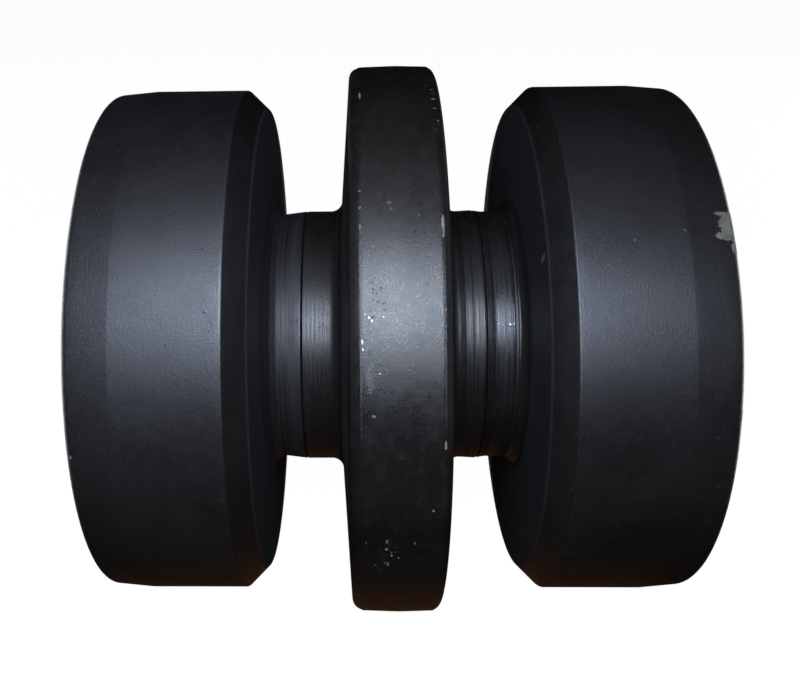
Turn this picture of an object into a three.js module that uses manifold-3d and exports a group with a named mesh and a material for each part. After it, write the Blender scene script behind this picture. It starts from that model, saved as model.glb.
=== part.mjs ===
// Track roller of a small crawler machine, for a rubber track.
//
// A shell welded from two wheels and a centre flange turns on two bushes round
// a fixed shaft. A collar closes each end, with a pair of seal rings between
// the collar and the shell, and the space round the shaft is filled with oil.
//
// Millimetres, +Z up. The roller turns about the Y axis. The origin is its
// centre, so "along" below is a distance from the middle of the centre flange.

import * as THREE from 'three';
import { mergeVertices } from 'three/addons/utils/BufferGeometryUtils.js';
import Module from 'manifold-3d';

const wasm = await Module();
wasm.setup();

// ---- Driving dimensions ----------------------------------------------------

const GAP = 0.3; // clearance between pieces that touch in the real roller
const EDGE_BREAK = 1; // small chamfers inside the roller

// Facets round the axis
const SHELL_FACETS = 48;
const INNER_FACETS = 24;
const ROD_FACETS = 12;
const RING_SECTION_SIDES = 8;

// Straight steps in each rounded corner of an outline
const FILLET_STEPS = 3;
const RIM_STEPS = 2;

// Wheels
const TREAD_RADIUS = 65;
const TREAD_START = 36.5;
const TREAD_END = 60;
const WHEEL_FACE = 31.5;
const WHEEL_END = 70;
const WHEEL_CHAMFER = TREAD_START - WHEEL_FACE;
const RIM_RADIUS = 64.1;
const RIM_ROUNDING = 1.7;

// Centre flange
const FLANGE_RADIUS = 70.75;
const FLANGE_TIP_HALF = 10.6;
const FLANGE_ROOT_HALF = 12.6;
const FLANGE_ROUNDING = 4.5;

// Hub between the flange and each wheel, with the weld seam across it
const HUB_RADIUS = 33;
const HUB_WHEEL_RADIUS = 32.2;
const ROOT_FILLET = 3;
const SEAM = 22;

// Shaft
const SHAFT_RADIUS = 17.5;
const SHAFT_END = 82;
const SHAFT_CHAMFER = 1.3;
const RELIEF_RADIUS = 16.5;
const RELIEF_HALF = 13;
const FLAT_FROM_AXIS = 14;
const FLAT_LENGTH = 4.5;

// Threaded end holes, for M16, and the oil passage behind the right one
const END_HOLE_RADIUS = 7;
const END_HOLE_FLOOR = 52;
const END_HOLE_CHAMFER = 1;
const PLUG_THREAD_RADIUS = 4.7;
const PLUG_THREAD_END = 43;
const PLUG_HEAD_RADIUS = 6.5;
const PLUG_HEAD_HEIGHT = 3;
const PLUG_SOCKET_FLATS = 5;
const PLUG_SOCKET_DEPTH = 2.2;
const WASHER_THICKNESS = 1;
const OIL_PASSAGE_RADIUS = 3;
const OIL_CROSS_HOLE_RADIUS = 2.2;
const OIL_SPACE_RADIUS = 24;
const OIL_SPACE_HALF = 12.3;

// Bushes, each with a thrust flange at its outer end
const BUSH_START = 14;
const BUSH_OUTER_RADIUS = 21;
const BUSH_FLANGE_START = 44;
const BUSH_FLANGE_END = 47;
const BUSH_FLANGE_RADIUS = 26;

// Seal rings: two alike, face to face at the running plane
const SEAL_PLANE = 52.5;
const SEAL_BORE_RADIUS = 24.5;
const SEAL_SLEEVE_RADIUS = 26;
const SEAL_FLANGE_RADIUS = 31;
const SEAL_FLANGE_BACK = 2.1; // from the running plane
const SEAL_SLEEVE_BACK = 4.6; // from the running plane
const SEAL_MOUTH_CLEARANCE = 1; // round a seal ring's flange
const SEAL_MOUTH_DEPTH = 0.4; // behind a seal ring's flange
const TORIC_SECTION_RADIUS = 2;

// End collars
const COLLAR_NOSE_RADIUS = 22.5;
const COLLAR_SKIRT_RADIUS = 34;
const COLLAR_SKIRT_START = 54;
const COLLAR_SHOULDER = 68;
const COLLAR_OUTER_RADIUS = 31;
const COLLAR_OUTER_START = 71;
const COLLAR_END = 77;
const COLLAR_CHAMFER = 1.5;
const COLLAR_END_FLOAT = 0.4; // nose to bush flange
const RECESS_RADIUS = 36;
const RECESS_FLOOR = 53;

// Rubber ring in the collar's bore, and the pin that locks collar to shaft
const ORING_ALONG = 65;
const ORING_SECTION_RADIUS = 1.15;
const PIN_ALONG = 73.5;
const PIN_RADIUS = 2.5;
const PIN_INNER_END = 10.5; // from the shaft's axis
const PIN_OUTER_END = 30.4;

// Dimensions that follow from the ones above
const SHAFT_BORE_RADIUS = SHAFT_RADIUS + GAP;
const BUSH_SEAT_RADIUS = BUSH_OUTER_RADIUS + GAP;
const TORIC_RING_RADIUS = SEAL_SLEEVE_RADIUS + GAP + TORIC_SECTION_RADIUS;
const TORIC_BACK = SEAL_FLANGE_BACK + GAP + TORIC_SECTION_RADIUS;
const HOUSING_RADIUS = TORIC_RING_RADIUS + TORIC_SECTION_RADIUS + GAP;
const HOUSING_BACK = TORIC_BACK + TORIC_SECTION_RADIUS + GAP;
const HOUSING_MOUTH_RADIUS = SEAL_FLANGE_RADIUS + SEAL_MOUTH_CLEARANCE;
const HOUSING_MOUTH_BACK = SEAL_FLANGE_BACK + SEAL_MOUTH_DEPTH;
const PLUG_HEAD_START = END_HOLE_FLOOR + WASHER_THICKNESS + 2 * GAP;

// ---- Materials ---------------------------------------------------------------

function material(color, roughness, metalness) {
  return new THREE.MeshStandardMaterial({ color, roughness, metalness });
}

const blackPaint = () => material(0x1c1c21, 0.45, 0.2);
const groundSteel = () => material(0x9a9a98, 0.3, 0.9);
const darkSteel = () => material(0x54545a, 0.4, 0.8);
const bronze = () => material(0xa87b3c, 0.35, 0.9);
const sealIron = () => material(0x5e5e60, 0.35, 0.85);
const sealRubber = () => material(0x141414, 0.8, 0);
const copper = () => material(0xb06a43, 0.35, 0.9);

// ---- Shape helpers -----------------------------------------------------------

// An outline is a list of [radius, along] points that keeps the metal on its
// left. It starts and ends on the axis, or else it is closed here.
function turned(outline, facets, side = 1) {
  const points = outline.map(([radius, along]) => new THREE.Vector2(radius, side * along));
  if (side < 0) points.reverse();
  if (points[0].x > 0) points.push(points[0].clone());
  return new THREE.LatheGeometry(points, facets);
}

function arc(centreRadius, centreAlong, radius, fromDegrees, toDegrees, steps) {
  const points = [];
  for (let step = 0; step <= steps; step += 1) {
    const turn = THREE.MathUtils.lerp(fromDegrees, toDegrees, step / steps);
    const angle = THREE.MathUtils.degToRad(turn);
    points.push([
      centreRadius + radius * Math.cos(angle),
      centreAlong + radius * Math.sin(angle),
    ]);
  }
  return points;
}

function roundRing(ringRadius, along, sectionRadius, side) {
  const closing = 360 * (1 - 1 / RING_SECTION_SIDES);
  const section = arc(ringRadius, along, sectionRadius, 0, closing, RING_SECTION_SIDES - 1);
  return turned(section, INNER_FACETS, side);
}

// A round rod along Z, from one height to another
function uprightRod(radius, fromZ, toZ, along) {
  const rod = new THREE.CylinderGeometry(radius, radius, toZ - fromZ, ROD_FACETS);
  rod.rotateX(Math.PI / 2);
  rod.translate(0, along, (fromZ + toZ) / 2);
  return rod;
}

function toSolid(geometry) {
  const bare = geometry.clone();
  bare.deleteAttribute('normal');
  bare.deleteAttribute('uv');
  const merged = mergeVertices(bare);
  const corners = merged.index.array;
  const triangles = [];
  for (let i = 0; i < corners.length; i += 3) {
    const [a, b, c] = corners.slice(i, i + 3);
    if (a !== b && b !== c && c !== a) triangles.push(a, b, c);
  }
  return new wasm.Manifold(new wasm.Mesh({
    numProp: 3,
    vertProperties: new Float32Array(merged.attributes.position.array),
    triVerts: new Uint32Array(triangles),
  }));
}

function toGeometry(solid) {
  const mesh = solid.getMesh();
  const geometry = new THREE.BufferGeometry();
  geometry.setAttribute('position', new THREE.BufferAttribute(mesh.vertProperties, 3));
  geometry.setIndex(new THREE.BufferAttribute(mesh.triVerts, 1));
  geometry.computeVertexNormals();
  return geometry;
}

function cut(geometry, cutters) {
  const start = toSolid(geometry);
  return toGeometry(cutters.reduce((solid, cutter) => solid.subtract(toSolid(cutter)), start));
}

// ---- Shell: three forgings welded into one ----------------------------------

// Outline runs from the weld seam out over the wheel, round the rim and back
// in through the collar's recess, the seal housing and the bush's seat.
function wheelShell(side) {
  const outline = [
    [BUSH_SEAT_RADIUS, SEAM + GAP / 2],
    [HUB_RADIUS, SEAM + GAP / 2],
    ...arc(
      HUB_WHEEL_RADIUS + ROOT_FILLET,
      WHEEL_FACE - ROOT_FILLET,
      ROOT_FILLET,
      180,
      90,
      FILLET_STEPS,
    ),
    [TREAD_RADIUS - WHEEL_CHAMFER, WHEEL_FACE],
    [TREAD_RADIUS, TREAD_START],
    [TREAD_RADIUS, TREAD_END],
    ...arc(RIM_RADIUS - RIM_ROUNDING, WHEEL_END - RIM_ROUNDING, RIM_ROUNDING, 0, 90, RIM_STEPS),
    [RECESS_RADIUS + EDGE_BREAK, WHEEL_END],
    [RECESS_RADIUS, WHEEL_END - EDGE_BREAK],
    [RECESS_RADIUS, RECESS_FLOOR],
    [HOUSING_MOUTH_RADIUS, RECESS_FLOOR],
    [HOUSING_MOUTH_RADIUS, SEAL_PLANE - HOUSING_MOUTH_BACK],
    [HOUSING_RADIUS, SEAL_PLANE - HOUSING_MOUTH_BACK],
    [HOUSING_RADIUS, SEAL_PLANE - HOUSING_BACK],
    [BUSH_FLANGE_RADIUS + GAP, SEAL_PLANE - HOUSING_BACK],
    [BUSH_FLANGE_RADIUS + GAP, BUSH_FLANGE_START - GAP],
    [BUSH_SEAT_RADIUS, BUSH_FLANGE_START - GAP],
  ];
  return turned(outline, SHELL_FACETS, side);
}

// One half of the flange's outside, from the seam to the flat top, on -Y
function flangeHalf() {
  const tipRadius = FLANGE_RADIUS - FLANGE_ROUNDING;
  const tipAlong = FLANGE_TIP_HALF - FLANGE_ROUNDING;
  const rootAlong = FLANGE_ROOT_HALF + ROOT_FILLET;
  return [
    [HUB_RADIUS, -SEAM + GAP / 2],
    ...arc(HUB_RADIUS + ROOT_FILLET, -rootAlong, ROOT_FILLET, 180, 90, FILLET_STEPS),
    ...arc(tipRadius, -tipAlong, FLANGE_ROUNDING, -90, 0, FILLET_STEPS),
  ];
}

function centreFlangeShell() {
  const lowerHalf = flangeHalf();
  const upperHalf = flangeHalf().map(([radius, along]) => [radius, -along]).reverse();
  const outline = [
    [BUSH_SEAT_RADIUS, -SEAM + GAP / 2],
    ...lowerHalf,
    ...upperHalf,
    [BUSH_SEAT_RADIUS, SEAM - GAP / 2],
    [BUSH_SEAT_RADIUS, OIL_SPACE_HALF],
    [OIL_SPACE_RADIUS, OIL_SPACE_HALF - EDGE_BREAK],
    [OIL_SPACE_RADIUS, -OIL_SPACE_HALF + EDGE_BREAK],
    [BUSH_SEAT_RADIUS, -OIL_SPACE_HALF],
  ];
  return turned(outline, SHELL_FACETS);
}

// ---- Shaft -------------------------------------------------------------------

// Outline runs from the floor of the left end hole, over the outside, and
// back in through the right end hole, the plug's thread and the oil passage.
function shaftBlank() {
  const outline = [
    [0, -END_HOLE_FLOOR],
    [END_HOLE_RADIUS, -END_HOLE_FLOOR],
    [END_HOLE_RADIUS, -SHAFT_END + END_HOLE_CHAMFER],
    [END_HOLE_RADIUS + END_HOLE_CHAMFER, -SHAFT_END],
    [SHAFT_RADIUS - SHAFT_CHAMFER, -SHAFT_END],
    [SHAFT_RADIUS, -SHAFT_END + SHAFT_CHAMFER],
    [SHAFT_RADIUS, -RELIEF_HALF],
    [RELIEF_RADIUS, -RELIEF_HALF + EDGE_BREAK],
    [RELIEF_RADIUS, RELIEF_HALF - EDGE_BREAK],
    [SHAFT_RADIUS, RELIEF_HALF],
    [SHAFT_RADIUS, SHAFT_END - SHAFT_CHAMFER],
    [SHAFT_RADIUS - SHAFT_CHAMFER, SHAFT_END],
    [END_HOLE_RADIUS + END_HOLE_CHAMFER, SHAFT_END],
    [END_HOLE_RADIUS, SHAFT_END - END_HOLE_CHAMFER],
    [END_HOLE_RADIUS, END_HOLE_FLOOR],
    [PLUG_THREAD_RADIUS + GAP, END_HOLE_FLOOR],
    [PLUG_THREAD_RADIUS + GAP, PLUG_THREAD_END - GAP],
    [OIL_PASSAGE_RADIUS, PLUG_THREAD_END - GAP],
    [OIL_PASSAGE_RADIUS, -OIL_PASSAGE_RADIUS],
    [0, -OIL_PASSAGE_RADIUS],
  ];
  return turned(outline, INNER_FACETS);
}

// Block outside one of the two flats at one end of the shaft
function flatCutter(side, face) {
  const depth = SHAFT_RADIUS;
  const block = new THREE.BoxGeometry(depth, 2 * FLAT_LENGTH, 4 * SHAFT_RADIUS);
  block.translate(face * (FLAT_FROM_AXIS + depth / 2), side * SHAFT_END, 0);
  return block;
}

function shaft() {
  const cutters = [uprightRod(OIL_CROSS_HOLE_RADIUS, 0, 2 * SHAFT_RADIUS, 0)];
  for (const side of [-1, 1]) {
    cutters.push(flatCutter(side, -1));
    cutters.push(flatCutter(side, 1));
    cutters.push(pinHole(side));
  }
  return cut(shaftBlank(), cutters);
}

// ---- Bushes and seals --------------------------------------------------------

function bush(side) {
  const outline = [
    [SHAFT_BORE_RADIUS, BUSH_START],
    [BUSH_OUTER_RADIUS, BUSH_START],
    [BUSH_OUTER_RADIUS, BUSH_FLANGE_START],
    [BUSH_FLANGE_RADIUS, BUSH_FLANGE_START],
    [BUSH_FLANGE_RADIUS, BUSH_FLANGE_END],
    [SHAFT_BORE_RADIUS, BUSH_FLANGE_END],
  ];
  return turned(outline, INNER_FACETS, side);
}

// The static ring backs away from the running plane towards the roller's end;
// the rotating ring is the same ring turned round, towards the middle.
function sealRing(side, isStatic) {
  const outline = [
    [SEAL_BORE_RADIUS, GAP / 2],
    [SEAL_FLANGE_RADIUS, GAP / 2],
    [SEAL_FLANGE_RADIUS, SEAL_FLANGE_BACK],
    [SEAL_SLEEVE_RADIUS, SEAL_FLANGE_BACK],
    [SEAL_SLEEVE_RADIUS, SEAL_SLEEVE_BACK],
    [SEAL_BORE_RADIUS, SEAL_SLEEVE_BACK],
  ];
  const towards = isStatic ? side : -side;
  const ring = turned(outline, INNER_FACETS, towards);
  ring.translate(0, side * SEAL_PLANE, 0);
  return ring;
}

function toric(side, isStatic) {
  const along = isStatic ? SEAL_PLANE + TORIC_BACK : SEAL_PLANE - TORIC_BACK;
  return roundRing(TORIC_RING_RADIUS, along, TORIC_SECTION_RADIUS, side);
}

// ---- End collar, its rubber ring and its lock pin ---------------------------

function pinHole(side) {
  return uprightRod(PIN_RADIUS + GAP, PIN_INNER_END - GAP, SHAFT_END, side * PIN_ALONG);
}

// Outline runs from the nose that faces the bush, through the seal housing
// and over the outside to the end face, then back along the bore.
function endCollar(side) {
  const grooveHalf = ORING_SECTION_RADIUS + GAP;
  const grooveRadius = SHAFT_BORE_RADIUS + 2 * ORING_SECTION_RADIUS + GAP;
  const outline = [
    [SHAFT_BORE_RADIUS, BUSH_FLANGE_END + COLLAR_END_FLOAT],
    [COLLAR_NOSE_RADIUS, BUSH_FLANGE_END + COLLAR_END_FLOAT],
    [COLLAR_NOSE_RADIUS, SEAL_PLANE + HOUSING_BACK],
    [HOUSING_RADIUS, SEAL_PLANE + HOUSING_BACK],
    [HOUSING_RADIUS, SEAL_PLANE + HOUSING_MOUTH_BACK],
    [HOUSING_MOUTH_RADIUS, SEAL_PLANE + HOUSING_MOUTH_BACK],
    [HOUSING_MOUTH_RADIUS, COLLAR_SKIRT_START],
    [COLLAR_SKIRT_RADIUS, COLLAR_SKIRT_START],
    [COLLAR_SKIRT_RADIUS, COLLAR_SHOULDER],
    [COLLAR_OUTER_RADIUS, COLLAR_OUTER_START],
    [COLLAR_OUTER_RADIUS, COLLAR_END - COLLAR_CHAMFER],
    [COLLAR_OUTER_RADIUS - COLLAR_CHAMFER, COLLAR_END],
    [SHAFT_BORE_RADIUS, COLLAR_END],
    [SHAFT_BORE_RADIUS, ORING_ALONG + grooveHalf],
    [grooveRadius, ORING_ALONG + grooveHalf],
    [grooveRadius, ORING_ALONG - grooveHalf],
    [SHAFT_BORE_RADIUS, ORING_ALONG - grooveHalf],
  ];
  return cut(turned(outline, INNER_FACETS, side), [pinHole(side)]);
}

function collarRing(side) {
  const ringRadius = SHAFT_BORE_RADIUS + ORING_SECTION_RADIUS;
  return roundRing(ringRadius, ORING_ALONG, ORING_SECTION_RADIUS, side);
}

function lockPin(side) {
  return uprightRod(PIN_RADIUS, PIN_INNER_END, PIN_OUTER_END, side * PIN_ALONG);
}

// ---- Oil plug and its washer, at the bottom of the right end hole -----------

function oilPlug() {
  const headEnd = PLUG_HEAD_START + PLUG_HEAD_HEIGHT;
  const outline = [
    [0, PLUG_THREAD_END],
    [PLUG_THREAD_RADIUS, PLUG_THREAD_END],
    [PLUG_THREAD_RADIUS, PLUG_HEAD_START],
    [PLUG_HEAD_RADIUS, PLUG_HEAD_START],
    [PLUG_HEAD_RADIUS, headEnd],
    [0, headEnd],
  ];
  const cornerRadius = PLUG_SOCKET_FLATS / Math.sqrt(3);
  const socket = new THREE.CylinderGeometry(cornerRadius, cornerRadius, 2 * PLUG_SOCKET_DEPTH, 6);
  socket.translate(0, headEnd, 0);
  return cut(turned(outline, INNER_FACETS), [socket]);
}

function plugWasher() {
  const start = END_HOLE_FLOOR + GAP;
  const end = start + WASHER_THICKNESS;
  const outline = [
    [PLUG_THREAD_RADIUS + GAP, start],
    [PLUG_HEAD_RADIUS, start],
    [PLUG_HEAD_RADIUS, end],
    [PLUG_THREAD_RADIUS + GAP, end],
  ];
  return turned(outline, INNER_FACETS);
}

// ---- Assembly ----------------------------------------------------------------

function addPiece(group, name, geometry, pieceMaterial) {
  const piece = new THREE.Mesh(geometry, pieceMaterial);
  piece.name = name;
  group.add(piece);
}

// What turns
const roller = new THREE.Group();
addPiece(roller, 'centre_flange_shell', centreFlangeShell(), blackPaint());

// What stays still in the track frame
const axle = new THREE.Group();
addPiece(axle, 'shaft', shaft(), groundSteel());
addPiece(axle, 'oil_plug', oilPlug(), darkSteel());
addPiece(axle, 'oil_plug_washer', plugWasher(), copper());

for (const [hand, side] of [['left', -1], ['right', 1]]) {
  addPiece(roller, `${hand}_wheel_shell`, wheelShell(side), blackPaint());
  addPiece(roller, `${hand}_bush`, bush(side), bronze());
  addPiece(roller, `${hand}_rotating_seal_ring`, sealRing(side, false), sealIron());
  addPiece(roller, `${hand}_rotating_toric`, toric(side, false), sealRubber());
  addPiece(axle, `${hand}_static_seal_ring`, sealRing(side, true), sealIron());
  addPiece(axle, `${hand}_static_toric`, toric(side, true), sealRubber());
  addPiece(axle, `${hand}_end_collar`, endCollar(side), blackPaint());
  addPiece(axle, `${hand}_collar_oring`, collarRing(side), sealRubber());
  addPiece(axle, `${hand}_lock_pin`, lockPin(side), darkSteel());
}

const trackRoller = new THREE.Group();
trackRoller.add(axle, roller);

export default trackRoller;
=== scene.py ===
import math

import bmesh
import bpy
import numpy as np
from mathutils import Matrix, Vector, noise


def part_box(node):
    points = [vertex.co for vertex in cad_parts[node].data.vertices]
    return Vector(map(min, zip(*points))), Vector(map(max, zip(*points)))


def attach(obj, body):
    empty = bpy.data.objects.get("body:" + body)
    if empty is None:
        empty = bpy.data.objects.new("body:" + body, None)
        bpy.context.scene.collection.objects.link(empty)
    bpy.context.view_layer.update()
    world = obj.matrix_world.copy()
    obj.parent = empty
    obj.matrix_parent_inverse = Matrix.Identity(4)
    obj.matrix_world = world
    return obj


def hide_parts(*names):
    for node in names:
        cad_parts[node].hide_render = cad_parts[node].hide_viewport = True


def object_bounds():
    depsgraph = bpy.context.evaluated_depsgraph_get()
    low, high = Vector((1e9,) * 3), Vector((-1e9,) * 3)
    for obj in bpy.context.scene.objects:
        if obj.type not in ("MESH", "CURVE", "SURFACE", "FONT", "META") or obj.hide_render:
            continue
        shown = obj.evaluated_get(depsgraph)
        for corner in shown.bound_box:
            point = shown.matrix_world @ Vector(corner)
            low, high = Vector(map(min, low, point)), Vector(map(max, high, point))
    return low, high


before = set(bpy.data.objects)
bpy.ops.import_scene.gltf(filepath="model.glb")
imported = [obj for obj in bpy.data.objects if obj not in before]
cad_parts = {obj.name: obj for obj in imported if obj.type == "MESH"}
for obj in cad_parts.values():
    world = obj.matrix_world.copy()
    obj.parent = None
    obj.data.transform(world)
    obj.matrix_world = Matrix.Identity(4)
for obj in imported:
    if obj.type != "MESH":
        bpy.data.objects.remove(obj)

# Track roller: the looks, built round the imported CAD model.
#
# Every visible piece is a fine mesh turned from an outline, like the real one on a
# lathe, and stands for the CAD node of the same name. Outlines are in millimetres:
# a corner is (radius, along) or (radius, along, rounding), where along is the
# distance from the middle of the centre flange on the spin axis, +Y.

cad_low, cad_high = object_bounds()

MM = 0.001
GAP = 0.3  # clearance between pieces that touch in the real roller

# ---- Sizes from the frame ------------------------------------------------------------

TREAD_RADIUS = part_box("right_wheel_shell")[1].z / MM
WHEEL_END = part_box("right_wheel_shell")[1].y / MM
FLANGE_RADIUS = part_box("centre_flange_shell")[1].z / MM
SHAFT_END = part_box("shaft")[1].y / MM
BUSH_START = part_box("right_bush")[0].y / MM
BUSH_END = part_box("right_bush")[1].y / MM
BUSH_FLANGE_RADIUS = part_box("right_bush")[1].z / MM
SEAL_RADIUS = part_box("right_static_seal_ring")[1].z / MM
SEAL_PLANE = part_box("right_static_seal_ring")[0].y / MM - GAP / 2
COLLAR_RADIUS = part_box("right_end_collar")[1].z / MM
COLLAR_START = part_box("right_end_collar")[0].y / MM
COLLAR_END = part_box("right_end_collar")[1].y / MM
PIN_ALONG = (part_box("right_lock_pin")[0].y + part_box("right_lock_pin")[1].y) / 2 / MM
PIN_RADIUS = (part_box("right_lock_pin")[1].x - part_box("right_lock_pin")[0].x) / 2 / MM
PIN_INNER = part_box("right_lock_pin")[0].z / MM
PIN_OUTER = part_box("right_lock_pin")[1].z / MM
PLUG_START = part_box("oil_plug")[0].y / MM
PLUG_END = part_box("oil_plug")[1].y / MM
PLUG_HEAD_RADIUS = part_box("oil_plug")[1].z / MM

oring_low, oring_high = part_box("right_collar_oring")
SHAFT_RADIUS = (oring_high.z - oring_high.y + oring_low.y) / MM - GAP

# ---- Sizes as in the CAD model -------------------------------------------------------

# Wheels
TREAD_START = 36.5
TREAD_END = 60
WHEEL_FACE = 31.5
CHAMFER_RADIUS = 60
RIM_RADIUS = 64.1
RECESS_RADIUS = 36
RECESS_FLOOR = 53

# Centre flange, whose rim is crowned and has an edge on each side
FLANGE_TIP_HALF = 10.6
FLANGE_ROOT_HALF = 12.6
RIM_CROWN = 0.25
RIM_EDGE_LEFT = 7.8
RIM_EDGE_RIGHT = 9.1

# Hub and the weld seams in it
HUB_RADIUS = 33
HUB_WHEEL_RADIUS = 32.2
ROOT_FILLET = 3
SEAM = 22
SEAM_LIP = 0.18  # from the middle of a seam to where the hub's surface starts
SEAM_FLOOR = 0.02

# Inside of the shell
BUSH_SEAT_RADIUS = 21.3
OIL_SPACE_RADIUS = 24
OIL_SPACE_HALF = 12.3
THRUST_FLANGE = 3  # thickness of a bush's flange

# Pockets for the seals: depths are from the plane that the seal rings run on
POCKET_RADIUS = 30.6
POCKET_BACK = 6.7
POCKET_MOUTH_RADIUS = 32
POCKET_MOUTH_BACK = 2.5
SEAL_BORE_RADIUS = 24.5
SEAL_SLEEVE_RADIUS = 26
SEAL_FLANGE_BACK = 2.1
SEAL_SLEEVE_BACK = 4.6

# End collars
COLLAR_NOSE_RADIUS = 22.5
COLLAR_SHOULDER = 68
COLLAR_OUTER_RADIUS = 31
COLLAR_OUTER_START = 71

# Shaft, oil plug and lock pins
RELIEF_HALF = 13
RELIEF_DEPTH = 1
END_HOLE_RADIUS = 7
END_HOLE_FLOOR = 52
END_HOLE_CHAMFER = 1.3
THREAD_PITCH = 2
THREAD_DEPTH = 0.5
FLAT_FROM_AXIS = 14
FLAT_LENGTH = 4.5
OIL_PASSAGE_RADIUS = 3
PLUG_THREAD_RADIUS = 4.7
PLUG_HEAD_HEIGHT = 3
PLUG_SOCKET_FLATS = 5
PLUG_SOCKET_DEPTH = 2.2
WASHER_RADIUS = 5  # of its bore
PIN_GAP = 0.25  # round a lock pin in its collar
PIN_SLOT_HALF = 0.35
PIN_SLOT_DEPTH = 1.2

SHARP_ANGLE = math.radians(35)  # a mesh is smooth across anything less
WELD_DISTANCE = 0.0005 * MM

# ---- Camera --------------------------------------------------------------------------

CAMERA_RISE = math.radians(25)  # above the horizon, seen from the spin axis
CAMERA_DISTANCE = 261.3 * MM  # from the spin axis
CAMERA_ALONG = -7.4 * MM
CAMERA_YAW = math.radians(-1.71)
CAMERA_PITCH = math.radians(4.26)
CAMERA_ROLL = math.radians(-0.32)
CAMERA_LENS = 43.33
CAMERA_SHIFT = (0.0831, -0.0967)


def round_the_axis(rise):
    """Outward and upward directions at a height angle round the spin axis."""
    outward = Vector((math.cos(rise), 0, math.sin(rise)))
    upward = Vector((-math.sin(rise), 0, math.cos(rise)))
    return outward, upward


def place_camera():
    """The photograph's camera, close to the roller and on its +X side."""
    outward, upward = round_the_axis(CAMERA_RISE)
    along = Vector((0, 1, 0))
    ahead = math.sin(CAMERA_YAW) * along - math.cos(CAMERA_YAW) * outward
    right = math.cos(CAMERA_YAW) * along + math.sin(CAMERA_YAW) * outward
    looking = math.cos(CAMERA_PITCH) * ahead + math.sin(CAMERA_PITCH) * upward
    above = math.cos(CAMERA_PITCH) * upward - math.sin(CAMERA_PITCH) * ahead
    image_right = math.cos(CAMERA_ROLL) * right + math.sin(CAMERA_ROLL) * above
    image_up = math.cos(CAMERA_ROLL) * above - math.sin(CAMERA_ROLL) * right
    data = bpy.data.cameras.new("camera")
    data.sensor_width = 36
    data.lens = CAMERA_LENS
    data.shift_x, data.shift_y = CAMERA_SHIFT
    data.clip_start = 0.01
    camera = bpy.data.objects.new("camera", data)
    bpy.context.scene.collection.objects.link(camera)
    turn = Matrix((image_right, image_up, -looking)).transposed()
    place = CAMERA_DISTANCE * outward + CAMERA_ALONG * along
    camera.matrix_world = Matrix.Translation(place) @ turn.to_4x4()
    bpy.context.scene.camera = camera


# ---- Outlines ------------------------------------------------------------------------


def rounded(corners, steps=5, closed=True):
    """Points of an outline whose corners are rounded by their third number."""
    points = []
    count = len(corners)
    for i, corner in enumerate(corners):
        here = np.array(corner[:2], float)
        rounding = corner[2] if len(corner) > 2 else 0
        if rounding == 0 or (not closed and i in (0, count - 1)):
            points.append(here)
            continue
        before = np.array(corners[i - 1][:2], float) - here
        after = np.array(corners[(i + 1) % count][:2], float) - here
        before /= np.linalg.norm(before)
        after /= np.linalg.norm(after)
        half = math.acos(max(-1, min(1, float(before @ after)))) / 2
        reach = rounding / math.tan(half)
        middle = (before + after) / np.linalg.norm(before + after)
        centre = here + middle * rounding / math.sin(half)
        first = here + before * reach - centre
        last = here + after * reach - centre
        for step in range(steps + 1):
            share = step / steps
            arm = first * (1 - share) + last * share
            points.append(centre + arm / np.linalg.norm(arm) * rounding)
    return points


def divided(points, spacing, closed=True):
    """The same outline with no two points further apart than the spacing."""
    result = []
    pairs = list(zip(points, points[1:] + points[:1]))
    for here, there in pairs if closed else pairs[:-1]:
        pieces = max(1, math.ceil(np.linalg.norm(there - here) / spacing))
        for k in range(pieces):
            result.append(here + (there - here) * k / pieces)
    if not closed:
        result.append(points[-1])
    return result


def mirrored(corners):
    """The same outline for the other end of the roller."""
    return [(corner[0], -corner[1], *corner[2:]) for corner in reversed(corners)]


# ---- Meshes --------------------------------------------------------------------------


def revolve(outline, steps, relief=None):
    """A piece turned round +Y from an outline, which is open if it starts on the axis.

    Relief gives the radial change of an array of points.
    """
    profile = np.array(outline, float)
    closed = profile[0, 0] > 0
    angles = np.arange(steps) * 2 * math.pi / steps
    turn, place = np.meshgrid(angles, np.arange(len(profile)), indexing="ij")
    radius = profile[place, 0]
    along = profile[place, 1]
    if relief is not None:
        radius = radius + relief(radius, along, turn)
    points = np.stack([radius * np.cos(turn), along, radius * np.sin(turn)], axis=-1)
    mesh = bpy.data.meshes.new("turned")
    rows = len(profile)
    faces = []
    for i in range(steps):
        following = (i + 1) % steps
        for j in range(rows if closed else rows - 1):
            k = (j + 1) % rows
            faces.append((i * rows + j, i * rows + k, following * rows + k, following * rows + j))
    mesh.from_pydata((points.reshape(-1, 3) * MM).tolist(), [], faces)
    mesh.validate()
    return finished(mesh, weld=not closed)


def smooth(mesh):
    """Smooth shading, except across real edges."""
    mesh.polygons.foreach_set("use_smooth", [True] * len(mesh.polygons))
    mesh.set_sharp_from_angle(angle=SHARP_ANGLE)


def finished(mesh, weld=False):
    """An object for the mesh, whose faces all look outward. Welding joins equal points."""
    work = bmesh.new()
    work.from_mesh(mesh)
    if weld:
        bmesh.ops.remove_doubles(work, verts=work.verts, dist=WELD_DISTANCE)
    bmesh.ops.recalc_face_normals(work, faces=work.faces)
    work.to_mesh(mesh)
    work.free()
    smooth(mesh)
    piece = bpy.data.objects.new("piece", mesh)
    bpy.context.scene.collection.objects.link(piece)
    return piece


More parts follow.
